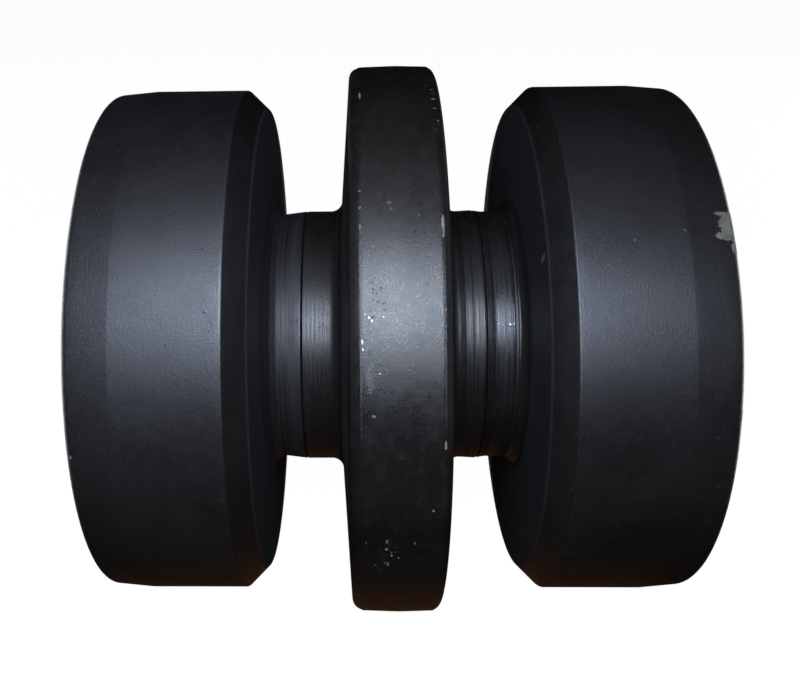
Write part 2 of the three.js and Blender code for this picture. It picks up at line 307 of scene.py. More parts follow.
def carve(piece, cutters):
    """Cuts the cutters out of the piece and removes them."""
    for cutter in cutters:
        modifier = piece.modifiers.new("cut", "BOOLEAN")
        modifier.operation = "DIFFERENCE"
        modifier.solver = "EXACT"
        modifier.object = cutter
    view = bpy.context.evaluated_depsgraph_get()
    mesh = bpy.data.meshes.new_from_object(piece.evaluated_get(view))
    piece.modifiers.clear()
    piece.data = mesh
    for cutter in cutters:
        bpy.data.objects.remove(cutter)
    smooth(mesh)
    return piece


def lay_out(piece, turn, place=(0, 0, 0)):
    """Moves the vertices of a piece, which stays at the origin itself."""
    piece.data.transform(Matrix.Translation(Vector(place) * MM) @ turn.to_4x4())
    return piece


def block(low, high):
    """A box between two corners."""
    corners = [(x, y, z) for x in (0, 1) for y in (0, 1) for z in (0, 1)]
    points = [[(low[i] + c[i] * (high[i] - low[i])) * MM for i in range(3)] for c in corners]
    faces = [(0, 1, 3, 2), (4, 6, 7, 5), (0, 4, 5, 1), (2, 3, 7, 6), (0, 2, 6, 4), (1, 5, 7, 3)]
    mesh = bpy.data.meshes.new("block")
    mesh.from_pydata(points, [], faces)
    return finished(mesh)


UPRIGHT = Matrix.Rotation(math.radians(90), 3, "X")  # takes +Y to +Z


# ---- Surface relief ------------------------------------------------------------------


def forged_relief(depth, grain, seed):
    """Small hollows and bumps of a forged surface, on its outer side only."""

    def relief(radius, along, turn):
        shape = radius.shape
        x = (radius * np.cos(turn)).ravel()
        z = (radius * np.sin(turn)).ravel()
        y = along.ravel()
        outer = radius.ravel() > HUB_RADIUS + 1
        change = np.zeros(len(x))
        for i in np.nonzero(outer)[0]:
            spot = Vector((x[i] + seed, y[i], z[i]))
            broad = noise.noise(spot / (grain * 4))
            fine = noise.noise(spot / grain)
            change[i] = depth * (1.3 * broad + 0.8 * fine)
        return change.reshape(shape)

    return relief


def thread_relief(low, high):
    """A helical thread on the wall of the end holes, between two distances along."""

    def relief(radius, along, turn):
        aside = np.abs(along)
        inside = (radius < END_HOLE_RADIUS + 0.2) & (aside > low) & (aside < high)
        phase = (along / THREAD_PITCH - turn / (2 * math.pi)) % 1
        return np.where(inside, THREAD_DEPTH * (1 - 2 * np.abs(2 * phase - 1)), 0)

    return relief


# ---- Shell ---------------------------------------------------------------------------


SMOOTH_STUB = [
    (HUB_RADIUS - 1.0, SEAM + 0.13),
    (HUB_RADIUS, SEAM + SEAM_LIP, 0.15),
    (HUB_WHEEL_RADIUS + 0.05, 28.2, 0.1),
    (HUB_WHEEL_RADIUS + 1.0, 29.7, 1.5),
    (HUB_WHEEL_RADIUS + 3.6, WHEEL_FACE, 1.2),
]
RIDGED_STUB = [
    (HUB_RADIUS - 1.0, SEAM + 0.13),
    (HUB_RADIUS - 0.12, SEAM + SEAM_LIP, 0.1),
    (HUB_RADIUS - 0.2, 22.8, 0.3),
    (HUB_RADIUS - 0.42, 24.2, 0.6),
    (HUB_RADIUS - 0.35, 28.6, 0.15),
    (HUB_RADIUS - 0.65, 28.85, 0.1),
    (HUB_RADIUS - 0.63, 29.4, 0.1),
    (HUB_RADIUS - 0.40, 29.65, 0.1),
    (HUB_RADIUS - 0.3, 30.0, 0.2),
    (HUB_RADIUS + 1.2, WHEEL_FACE, 1.4),
]


def wheel_corners(stub):
    """Outline of one wheel, from the weld seam over the wheel to the bush's seat."""
    return [
        (BUSH_SEAT_RADIUS, SEAM + SEAM_FLOOR),
        (HUB_RADIUS - 1.2, SEAM + SEAM_FLOOR),
        *stub,
        (CHAMFER_RADIUS, WHEEL_FACE, 0.9),
        (TREAD_RADIUS, TREAD_START, 0.8),
        (TREAD_RADIUS, TREAD_END, 6.0),
        (RIM_RADIUS, WHEEL_END, 1.7),
        (CHAMFER_RADIUS - 2, WHEEL_END, 0.3),
        (CHAMFER_RADIUS - 3.2, WHEEL_END - 0.6, 0.6),
        (RECESS_RADIUS + 4.5, WHEEL_END - 0.6, 0.6),
        (RECESS_RADIUS + 4, WHEEL_END - 0.1, 0.2),
        (RECESS_RADIUS + 1, WHEEL_END - 0.1, 0.3),
        (RECESS_RADIUS, WHEEL_END - 1.1, 0.3),
        (RECESS_RADIUS, RECESS_FLOOR, 0.8),
        (POCKET_MOUTH_RADIUS, RECESS_FLOOR, 0.2),
        (POCKET_MOUTH_RADIUS, SEAL_PLANE - POCKET_MOUTH_BACK, 0.2),
        (POCKET_RADIUS, SEAL_PLANE - POCKET_MOUTH_BACK, 0.3),
        (POCKET_RADIUS, SEAL_PLANE - POCKET_BACK, 0.8),
        (BUSH_FLANGE_RADIUS + GAP, SEAL_PLANE - POCKET_BACK, 0.2),
        (BUSH_FLANGE_RADIUS + GAP, BUSH_END - THRUST_FLANGE - GAP, 0.2),
        (BUSH_SEAT_RADIUS, BUSH_END - THRUST_FLANGE - GAP, 0.2),
    ]


def wheel(side):
    """A wheel: the hub of the right one is finely ridged, and the left one's is smooth."""
    corners = wheel_corners(RIDGED_STUB if side > 0 else SMOOTH_STUB)
    outline = divided(rounded(corners if side > 0 else mirrored(corners), 6), 2.5)
    return revolve(outline, 384)


def centre_flange():
    """The flange's rim is turned, with a crisp edge against its forged, rounded sides."""
    seat_half = [
        (BUSH_SEAT_RADIUS, SEAM - SEAM_FLOOR),
        (BUSH_SEAT_RADIUS, OIL_SPACE_HALF),
        (OIL_SPACE_RADIUS, OIL_SPACE_HALF - 1, 0.5),
    ]
    seam_side = [
        (HUB_RADIUS, SEAM - SEAM_LIP, 0.15),
        (HUB_RADIUS - 1.0, SEAM - 0.13),
        (HUB_RADIUS - 1.2, SEAM - SEAM_FLOOR),
    ]
    left_half = [
        (FLANGE_RADIUS - RIM_CROWN, RIM_EDGE_LEFT),
        (FLANGE_RADIUS - RIM_CROWN - 1.1, FLANGE_TIP_HALF - 0.3, 2.6),
        (HUB_RADIUS, FLANGE_ROOT_HALF + 0.15, ROOT_FILLET),
        *seam_side,
    ]
    right_half = [
        (FLANGE_RADIUS - RIM_CROWN, RIM_EDGE_RIGHT),
        (FLANGE_RADIUS - RIM_CROWN - 0.95, FLANGE_TIP_HALF + 0.15, 2.1),
        (HUB_RADIUS + 0.1, FLANGE_ROOT_HALF + 0.15, ROOT_FILLET),
        (HUB_RADIUS + 0.08, 15.7, 0.5),
        (HUB_RADIUS - 0.24, 17.15, 0.25),
        (HUB_RADIUS - 0.17, 18.75, 0.05),
        (HUB_RADIUS - 0.27, 18.85, 0.03),
        (HUB_RADIUS - 0.27, 18.95, 0.03),
        (HUB_RADIUS - 0.15, 19.05, 0.05),
        (HUB_RADIUS - 0.02, SEAM - 0.5, 0.1),
        (HUB_RADIUS - 0.25, SEAM - 0.3, 0.05),
        (HUB_RADIUS - 0.12, SEAM - 0.15, 0.05),
        (HUB_RADIUS - 1.2, SEAM - SEAM_FLOOR),
    ]
    crown = [(FLANGE_RADIUS, 0.7, 60)]
    corners = crown + right_half + seat_half
    corners = corners + mirrored(seat_half) + mirrored(left_half)
    outline = divided(rounded(corners, 8), 0.8)
    return revolve(outline, 640, forged_relief(depth=0.018, grain=1.6, seed=7))


def end_collar(side):
    """The collar that closes one end of the roller, with the bore for its lock pin."""
    corners = [
        (SHAFT_RADIUS + GAP, COLLAR_START, 0.2),
        (COLLAR_NOSE_RADIUS, COLLAR_START, 0.3),
        (COLLAR_NOSE_RADIUS, SEAL_PLANE + POCKET_BACK, 0.5),
        (POCKET_RADIUS, SEAL_PLANE + POCKET_BACK, 0.8),
        (POCKET_RADIUS, SEAL_PLANE + POCKET_MOUTH_BACK, 0.3),
        (POCKET_MOUTH_RADIUS, SEAL_PLANE + POCKET_MOUTH_BACK, 0.2),
        (POCKET_MOUTH_RADIUS, RECESS_FLOOR + 1, 0.2),
        (COLLAR_RADIUS, RECESS_FLOOR + 1, 0.4),
        (COLLAR_RADIUS, COLLAR_SHOULDER, 1.2),
        (COLLAR_OUTER_RADIUS, COLLAR_OUTER_START, 1.2),
        (COLLAR_OUTER_RADIUS, COLLAR_END, 1.4),
        (SHAFT_RADIUS + GAP + 0.5, COLLAR_END, 0.2),
        (SHAFT_RADIUS + GAP, COLLAR_END - 0.6, 0.1),
    ]
    outline = divided(rounded(corners if side > 0 else mirrored(corners), 5), 3)
    collar = revolve(outline, 256)
    return carve(collar, [pin_bore(side, PIN_GAP)])


def pin_bore(side, clearance):
    """A cutter for the hole that a lock pin sits in."""
    radius, low, high = PIN_RADIUS + clearance, PIN_INNER - GAP, SHAFT_END
    cutter = revolve([(0, low), (radius, low), (radius, high), (0, high)], 48)
    return lay_out(cutter, UPRIGHT, (0, side * PIN_ALONG, 0))


# ---- Shaft, pins and plug ------------------------------------------------------------


def shaft_half():
    """Outline of one end of the shaft, from its relief to the floor of its hole."""
    return [
        (SHAFT_RADIUS - RELIEF_DEPTH, RELIEF_HALF - RELIEF_DEPTH, 0.3),
        (SHAFT_RADIUS, RELIEF_HALF, 0.3),
        (SHAFT_RADIUS, SHAFT_END, 1.0),
        (END_HOLE_RADIUS + END_HOLE_CHAMFER, SHAFT_END, 0.2),
        (END_HOLE_RADIUS, SHAFT_END - END_HOLE_CHAMFER),
        (END_HOLE_RADIUS, END_HOLE_FLOOR, 0.2),
    ]


def flat_cutter(side, face):
    """A block that cuts one of the two flats on one end of the shaft."""
    across = sorted((face * FLAT_FROM_AXIS, face * 2 * SHAFT_RADIUS))
    along = sorted((side * (SHAFT_END - FLAT_LENGTH), side * (SHAFT_END + FLAT_LENGTH)))
    low = (across[0], along[0], -2 * SHAFT_RADIUS)
    high = (across[1], along[1], 2 * SHAFT_RADIUS)
    return block(low, high)


def shaft():
    """The shaft: blind hole on the left, and on the right the hole for the oil plug."""
    plug_hole_radius = PLUG_THREAD_RADIUS + GAP
    plug_hole_floor = PLUG_START - GAP
    corners = [
        (0, -END_HOLE_FLOOR + 3.5),
        *mirrored(shaft_half()),
        *shaft_half(),
        (plug_hole_radius, END_HOLE_FLOOR),
        (plug_hole_radius, plug_hole_floor),
        (OIL_PASSAGE_RADIUS, plug_hole_floor),
        (OIL_PASSAGE_RADIUS, -OIL_PASSAGE_RADIUS),
        (0, -OIL_PASSAGE_RADIUS),
    ]
    points = rounded(corners, 4, closed=False)
    outline = divided(points, THREAD_PITCH / 4, closed=False)
    thread = thread_relief(END_HOLE_FLOOR + 2, SHAFT_END - 1.5)
    made = revolve(outline, 192, thread)
    cutters = [pin_bore(side, GAP) for side in (-1, 1)]
    cutters += [flat_cutter(side, face) for side in (-1, 1) for face in (-1, 1)]
    return carve(made, cutters)


def lock_pin(side):
    """A pin with a slot in its outer end."""
    corners = [
        (0, PIN_INNER),
        (PIN_RADIUS, PIN_INNER, 0.5),
        (PIN_RADIUS, PIN_OUTER, 0.6),
        (0, PIN_OUTER),
    ]
    pin = revolve(rounded(corners, 5, closed=False), 64)
    lay_out(pin, UPRIGHT, (0, side * PIN_ALONG, 0))
    low = (-PIN_RADIUS, side * PIN_ALONG - PIN_SLOT_HALF, PIN_OUTER - PIN_SLOT_DEPTH)
    high = (PIN_RADIUS, side * PIN_ALONG + PIN_SLOT_HALF, PIN_OUTER + 1)
    return carve(pin, [block(low, high)])


def oil_plug():
    """The plug, with a six-sided socket in its head."""
    head_start = PLUG_END - PLUG_HEAD_HEIGHT
    corners = [
        (0, PLUG_START),
        (PLUG_THREAD_RADIUS, PLUG_START, 0.8),
        (PLUG_THREAD_RADIUS, head_start),
        (PLUG_HEAD_RADIUS, head_start, 0.2),
        (PLUG_HEAD_RADIUS, PLUG_END, 0.6),
        (0, PLUG_END),
    ]
    plug = revolve(rounded(corners, 4, closed=False), 96)
    corner_radius = PLUG_SOCKET_FLATS / math.sqrt(3)
    floor, above = PLUG_END - PLUG_SOCKET_DEPTH, PLUG_END + 1
    socket = revolve([(0, floor), (corner_radius, floor), (corner_radius, above), (0, above)], 6)
    return carve(plug, [socket])


def plug_washer():
    """The sealing washer under the plug's head."""
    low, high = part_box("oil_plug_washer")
    corners = [
        (WASHER_RADIUS, low.y / MM, 0.2),
        (high.z / MM, low.y / MM, 0.2),
        (high.z / MM, high.y / MM, 0.2),
        (WASHER_RADIUS, high.y / MM, 0.2),
    ]
    return revolve(rounded(corners, 3), 96)


# ---- Inside: bushes and seals --------------------------------------------------------


def bush(side):
    """A bush with its thrust flange."""
    flange_start = BUSH_END - THRUST_FLANGE
    corners = [
        (SHAFT_RADIUS + GAP, BUSH_START, 0.3),
        (BUSH_SEAT_RADIUS - GAP, BUSH_START, 0.6),
        (BUSH_SEAT_RADIUS - GAP, flange_start, 0.3),
        (BUSH_FLANGE_RADIUS, flange_start, 0.4),
        (BUSH_FLANGE_RADIUS, BUSH_END, 0.4),
        (SHAFT_RADIUS + GAP, BUSH_END, 0.6),
    ]
    return revolve(rounded(corners if side > 0 else mirrored(corners), 4), 128)


def seal_ring(side, towards):
    """A metal seal ring, whose sleeve points towards +Y or -Y."""
    corners = [
        (SEAL_BORE_RADIUS, GAP / 2, 0.2),
        (SEAL_RADIUS, GAP / 2, 0.3),
        (SEAL_RADIUS, SEAL_FLANGE_BACK, 0.3),
        (SEAL_SLEEVE_RADIUS, SEAL_FLANGE_BACK, 0.4),
        (SEAL_SLEEVE_RADIUS, SEAL_SLEEVE_BACK, 0.3),
        (SEAL_BORE_RADIUS, SEAL_SLEEVE_BACK, 0.2),
    ]
    shape = corners if towards > 0 else mirrored(corners)
    ring = revolve(rounded(shape, 4), 128)
    return lay_out(ring, Matrix.Identity(3), (0, side * SEAL_PLANE, 0))


def round_ring(node):
    """A rubber ring of round section, in the place of its CAD node."""
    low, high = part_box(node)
    section = (high.y - low.y) / 2 / MM
    centre_radius = high.z / MM - section
    along = (high.y + low.y) / 2 / MM
    sides = 24
    outline = []
    for step in range(sides):
        angle = step * 2 * math.pi / sides
        radius = centre_radius + section * math.cos(angle)
        outline.append((radius, along + section * math.sin(angle)))
    return revolve(outline, 128)


# ---- Material nodes ------------------------------------------------------------------


class Surface:
    """A material and short calls for the nodes that it is made of."""

    def __init__(self, name):
        self.material = bpy.data.materials.new(name)
        self.material.use_nodes = True
        self.tree = self.material.node_tree
        self.shader = self.tree.nodes["Principled BSDF"]
        coordinates = self.tree.nodes.new("ShaderNodeTexCoord")
        self.place = self.vector("SCALE", coordinates.outputs["Object"], scale=1 / MM)
        parts = self.add("ShaderNodeSeparateXYZ", {0: self.place})
        self.x, self.along, self.z = parts.outputs
        self.radius = self.vector("LENGTH", self.combine(self.x, 0.0, self.z))
        self.turn = self.math("ARCTAN2", self.z, self.x)
        drift = self.noise(0.6, detail=2)
        self.wobble = self.combine(drift, self.noise(0.5, detail=2), drift)  # bends specks
        self.edges = {}  # noise for the edges of marks, by its grain

    def add(self, kind, inputs=(), **settings):
        """A node with its settings, whose inputs are linked or set to a value."""
        node = self.tree.nodes.new(kind)
        for key, value in settings.items():
            setattr(node, key, value)
        for key, value in dict(inputs).items():
            self.feed(node.inputs[key], value)
        return node

    def feed(self, socket, value):
        if isinstance(value, bpy.types.NodeSocket):
            self.tree.links.new(value, socket)
        else:
            socket.default_value = value

    def math(self, operation, first, second=0.0):
        return self.add("ShaderNodeMath", {0: first, 1: second}, operation=operation).outputs[0]

    def vector(self, operation, first, second=None, scale=None):
        inputs = {0: first}
        if second is not None:
            inputs[1] = second
        if scale is not None:
            inputs["Scale"] = scale
        node = self.add("ShaderNodeVectorMath", inputs, operation=operation)
        return node.outputs["Value" if operation == "LENGTH" else "Vector"]

    def combine(self, x, y, z):
        return self.add("ShaderNodeCombineXYZ", {0: x, 1: y, 2: z}).outputs[0]

    def noise(self, size, detail=3.0, roughness=0.55, where=None):
        """Noise whose features are about that size in millimetres."""
        where = self.place if where is None else where
        inputs = {"Vector": where, "Scale": 1 / size, "Detail": detail, "Roughness": roughness}
        return self.add("ShaderNodeTexNoise", inputs).outputs[0]

    def cells(self, size, where=None):
        """Distance to, and colour of, the nearest of many scattered points."""
        where = self.place if where is None else where
        node = self.add("ShaderNodeTexVoronoi", {"Vector": where, "Scale": 1 / size})
        return node.outputs["Distance"], node.outputs["Color"]

    def ramp(self, value, low, high, to_low=0.0, to_high=1.0):
        """A smooth step as the value goes from low to high."""
        inputs = {0: value, 1: low, 2: high, 3: to_low, 4: to_high}
        node = self.add("ShaderNodeMapRange", inputs, interpolation_type="SMOOTHSTEP")
        return node.outputs[0]

    def mix(self, share, first, second):
        """A colour between two, or a number between two."""
        is_colour = any(self.is_colour(value) for value in (first, second))
        first_slot, second_slot, result_slot = (6, 7, 2) if is_colour else (2, 3, 0)
        first, second = (
            (*value, 1) if isinstance(value, tuple) else value for value in (first, second)
        )
        inputs = {0: share, first_slot: first, second_slot: second}
        node = self.add("ShaderNodeMix", inputs, data_type="RGBA" if is_colour else "FLOAT")
        return node.outputs[result_slot]

    @staticmethod
    def is_colour(value):
        if isinstance(value, bpy.types.NodeSocket):
            return value.type == "RGBA"
        return isinstance(value, tuple)

    def most(self, values):
        """The largest of several numbers, of which only the first may be a plain one."""
        total = values[0]
        for value in values[1:]:
            total = self.math("MAXIMUM", total, value)
        return total

    def bump(self, height, distance, strength, under=None):
        """A normal for the height, whose full range stands for the distance in millimetres."""
        inputs = {"Height": height, "Distance": distance * MM, "Strength": strength}
        if under is not None:
            inputs["Normal"] = under
        return self.add("ShaderNodeBump", inputs).outputs[0]

    def rings(self, pitch, detail):
        """Fine lines left by turning: noise that changes only along the axis and radius."""
        lines = self.combine(self.along, self.radius, 0.0)
        return self.noise(pitch, detail=detail, where=lines)

    def finish(self, **sockets):
        """Sets the shader's sockets, with _ for a space, and gives the material."""
        for key, value in sockets.items():
            if isinstance(value, tuple):
                value = (*value, 1)
            self.feed(self.shader.inputs[key.replace("_", " ")], value)
        return self.material


# ---- Wear marks and painted edge highlights ------------------------------------------

# Where paint is rubbed or knocked off, and the lighter rubbed lines along edges that are painted
# highlights of those edges. A mark is (turn, along, radius, high, wide, ragged, grain): turn in
# degrees above the line that faces the viewer, the rest in millimetres.
# High and wide are half its size round and along the roller. Ragged is how far its edge
# wanders, and grain is the size of the noise that it wanders by.

FRONT = CAMERA_RISE
MARK_DEPTH = 2.5  # how far a mark reaches in and out from its radius


def mark(surface, turn, along, radius, high, wide, ragged, grain):
    """A mask that is 1 inside a ragged patch of the surface, and 0 outside."""
    centre = FRONT + math.radians(turn)
    around = surface.math("SUBTRACT", surface.turn, centre)
    height = surface.math("MULTIPLY", around, radius / high)
    width = surface.math("DIVIDE", surface.math("SUBTRACT", surface.along, along), wide)
    depth = surface.math("DIVIDE", surface.math("SUBTRACT", surface.radius, radius), MARK_DEPTH)
    reach = surface.vector("LENGTH", surface.combine(height, width, depth))
    if grain not in surface.edges:
        surface.edges[grain] = surface.noise(grain, detail=4.0, roughness=0.65)
    edge = surface.edges[grain]
    uneven = surface.math("MULTIPLY", surface.math("SUBTRACT", edge, 0.5), 4 * ragged)
    return surface.ramp(surface.math("ADD", reach, uneven), 0.85, 1.05, 1.0, 0.0)


def specks(surface, area, size, share):
    """Tiny irregular spots scattered over the part of the surface inside an area."""
    bent = surface.vector("ADD", surface.place, surface.wobble)
    distance, cell = surface.cells(size, where=bent)
    chosen = surface.add("ShaderNodeSeparateColor", {0: cell}).outputs[1]
    spot = surface.ramp(distance, 0.14, 0.30, 1.0, 0.0)
    chosen = surface.ramp(chosen, 1 - share, 1 - share + 0.02)
    return surface.math("MULTIPLY", area, surface.math("MULTIPLY", spot, chosen))


def marks_of(surface, marks):
    """All marks of one kind as one mask."""
    return surface.most([0.0] + [mark(surface, *each) for each in marks])


# ---- Materials -----------------------------------------------------------------------

# Colours of the paint, of what shows where it is rubbed or knocked off, of the painted highlight
# on rubbed edges, and of its dirt

PAINT_DEEP = (0.0048, 0.0041, 0.0036)
PAINT_WORN = (0.0075, 0.0068, 0.0062)
PAINT_DUST = (0.035, 0.034, 0.034)
PRIMER_FORGED = ((0.085, 0.076, 0.066), (0.135, 0.122, 0.080))
PRIMER_TURNED = ((0.064, 0.054, 0.050), (0.094, 0.090, 0.060))
RUST_DARK = (0.09, 0.035, 0.015)
RUST_LIGHT = (0.22, 0.10, 0.045)
# Lighter grey of rubbed paint, laid along crisp edges as their highlight: painted highlight as
# well as wear
RUB_AND_PAINTED_HIGHLIGHT = (0.05, 0.05, 0.05)
BARE = (0.5, 0.49, 0.48)
OIL_STAIN = (0.05, 0.04, 0.03)

# Roughness of the paint, and what it is where it is worn off

CHAMFER_ROUGHNESS = 0.35
FACE_ROUGHNESS = 0.62
PIT_ROUGHNESS = 0.9
PRIMER_ROUGHNESS = 0.75
BARE_ROUGHNESS = 0.4

# How each painted piece shines: the roughness of its rim or tread, the roughness of its
# hub, and the level of its specular reflection

FLANGE_LOOK = (0.325, 0.47, 0.49)
FLANGE_TINT = (1.0, 0.975, 0.91)
WHEEL_LOOKS = {-1: (0.45, 0.54, 0.58), 1: (0.405, 0.38, 0.48)}
COLLAR_LOOK = (0.48, 0.48, 0.5)
WHITE = (1.0, 1.0, 1.0)

# Heights in millimetres that the bumps stand for

PAINT_RELIEF = 0.04
PAINT_THICKNESS = 0.06
METAL_RELIEF = 0.02


def black_paint(name, forged, look, marks, tint=WHITE):
    """Satin black paint on steel, with its knocks and the painted highlights of its rubbed edges,
    over a turned or forged skin.
    """
    roughness, hub_roughness, level = look
    surface = Surface(name)
    patches = surface.noise(18, detail=3)
    haze = surface.noise(2.6, detail=5, roughness=0.65)
    lines = surface.rings(0.5, detail=4)
    grit = surface.noise(0.42, detail=4, roughness=0.7)
    lump = surface.noise(2.2, detail=4, roughness=0.6) if forged else None
    distance, cell = surface.cells(1.5)
    rarity = surface.add("ShaderNodeSeparateColor", {0: cell}).outputs[0]
    hole = surface.ramp(distance, 0.08, 0.28, 1.0, 0.0)
    pitted = surface.ramp(surface.noise(7, detail=2), 0.52, 0.62)
    pit = surface.math("MULTIPLY", hole, surface.ramp(rarity, 0.70, 0.78))
    pit = surface.math("MULTIPLY", pit, pitted)

    # Sound paint: its colour and how rough it is
    paint = surface.mix(surface.ramp(patches, 0.3, 0.7), PAINT_DEEP, PAINT_WORN)
    dusty = surface.ramp(haze, 0.5, 0.85, 0.0, 0.25 if forged else 0.05)
    paint = surface.mix(dusty, paint, PAINT_DUST)
    on_hub = surface.ramp(surface.radius, HUB_RADIUS + 2, HUB_RADIUS + 4, 1.0, 0.0)
    aside = surface.math("ABSOLUTE", surface.along)
    if forged:
        flank = surface.ramp(aside, FLANGE_TIP_HALF - 0.4, FLANGE_TIP_HALF + 0.4)
        rough = surface.mix(flank, roughness, FACE_ROUGHNESS)
    else:
        inner = surface.ramp(aside, TREAD_START - 0.2, TREAD_START + 0.2, 1.0, 0.0)
        face = surface.ramp(aside, WHEEL_FACE + 0.2, WHEEL_FACE + 0.8, 1.0, 0.0)
        rough = surface.mix(inner, roughness, CHAMFER_ROUGHNESS)
        rough = surface.mix(face, rough, FACE_ROUGHNESS)
    rough = surface.mix(on_hub, rough, hub_roughness)
    rough = surface.math("ADD", rough, surface.ramp(haze, 0.3, 0.75, -0.03, 0.04))
    rough = surface.math("ADD", rough, surface.ramp(grit, 0.35, 0.65, -0.06, 0.06))
    streaks = surface.math("MULTIPLY", surface.ramp(lines, 0.3, 0.7, -0.16, 0.10), on_hub)
    rough = surface.math("ADD", rough, streaks)

    # Knocks and rubbed spots, which show primer, rust or bare steel, and rubbed lines in lighter
    # grey that are painted edge highlights over worn paint
    rub_and_painted_highlight = marks_of(surface, marks["rub_and_painted_highlight"])
    pale = marks_of(surface, marks["pale"])
    bare = marks_of(surface, marks["bare"])
    scored = marks_of(surface, marks["scored"])
    bare = surface.math("MAXIMUM", bare, specks(surface, scored, 0.42, 0.14))
    pit = surface.math("MAXIMUM", pit, specks(surface, scored, 0.75, 0.5))
    rust = marks_of(surface, marks["rust"])
    blotch = surface.ramp(surface.noise(2.4, detail=4), 0.4, 0.6)
    undercoat = PRIMER_FORGED if forged else PRIMER_TURNED
    primer = surface.mix(blotch, *undercoat)
    stain = surface.mix(blotch, RUST_DARK, RUST_LIGHT)
    # Rubbed marks lighten the paint towards grey: painted highlight along the edges, partly real
    # wear
    paint = surface.mix(surface.math("MULTIPLY", rub_and_painted_highlight, 0.6), paint, RUB_AND_PAINTED_HIGHLIGHT)
    paint = surface.mix(pale, paint, primer)
    paint = surface.mix(rust, paint, stain)
    paint = surface.mix(bare, paint, BARE)
    metal = surface.math("MULTIPLY", bare, 0.9)
    rough = surface.mix(surface.math("MULTIPLY", pit, 0.9), rough, PIT_ROUGHNESS)
    rough = surface.mix(surface.math("MAXIMUM", pale, rust), rough, PRIMER_ROUGHNESS)
    rough = surface.mix(surface.math("MAXIMUM", bare, rub_and_painted_highlight), rough, BARE_ROUGHNESS)

    # Bumps: each layer's height is a share of the relief, and a knock is as deep as the paint
    height = surface.math("MULTIPLY", grit, 2.4)
    if forged:
        height = surface.math("ADD", height, surface.math("MULTIPLY", lump, 0.4))
        height = surface.math("SUBTRACT", height, surface.math("MULTIPLY", pit, 1.6))
    else:
        height = surface.math("ADD", height, surface.math("MULTIPLY", lines, 0.3))
    height = surface.mix(on_hub, height, surface.math("MULTIPLY", lines, 1.2))
    normal = surface.bump(height, PAINT_RELIEF, 0.8)
    left_on = surface.math("SUBTRACT", 1.0, surface.most([pale, rust, bare]))
    normal = surface.bump(left_on, PAINT_THICKNESS, 1.0, under=normal)
    surface.finish(Base_Color=paint, Roughness=rough, Metallic=metal, Normal=normal)
    return surface.finish(Specular_IOR_Level=level, Specular_Tint=tint)


def plain_metal(name, light, dark, roughness, ring_pitch, grit_size):
    """Machined metal: fine turning lines, stains of old oil and small scratches."""
    surface = Surface(name)
    lines = surface.rings(ring_pitch, detail=3)
    blotch = surface.noise(5, detail=4)
    grit = surface.noise(grit_size, detail=3)
    colour = surface.mix(surface.ramp(lines, 0.3, 0.7), dark, light)
    colour = surface.mix(surface.ramp(blotch, 0.55, 0.8, 0.0, 0.5), colour, OIL_STAIN)
    uneven = surface.mix(0.5, lines, blotch)
    rough = surface.ramp(uneven, 0.3, 0.7, roughness - 0.08, roughness + 0.12)
    normal = surface.bump(surface.mix(0.4, lines, grit), METAL_RELIEF, 0.6)
    return surface.finish(Base_Color=colour, Roughness=rough, Metallic=1.0, Normal=normal)


def rubber(name):
    """Moulded black rubber."""
    surface = Surface(name)
    blotch = surface.noise(2.5, detail=3)
    grit = surface.noise(0.3, detail=2)
    colour = surface.mix(blotch, (0.010, 0.010, 0.010), (0.025, 0.024, 0.023))
    rough = surface.ramp(blotch, 0.3, 0.7, 0.55, 0.75)
    normal = surface.bump(grit, METAL_RELIEF, 0.5)
    return surface.finish(Base_Color=colour, Roughness=rough, Normal=normal)


# ---- Where each piece is marked ------------------------------------------------------

TOP = FLANGE_RADIUS
EDGE = FLANGE_RADIUS - 0.8
TREAD = TREAD_RADIUS

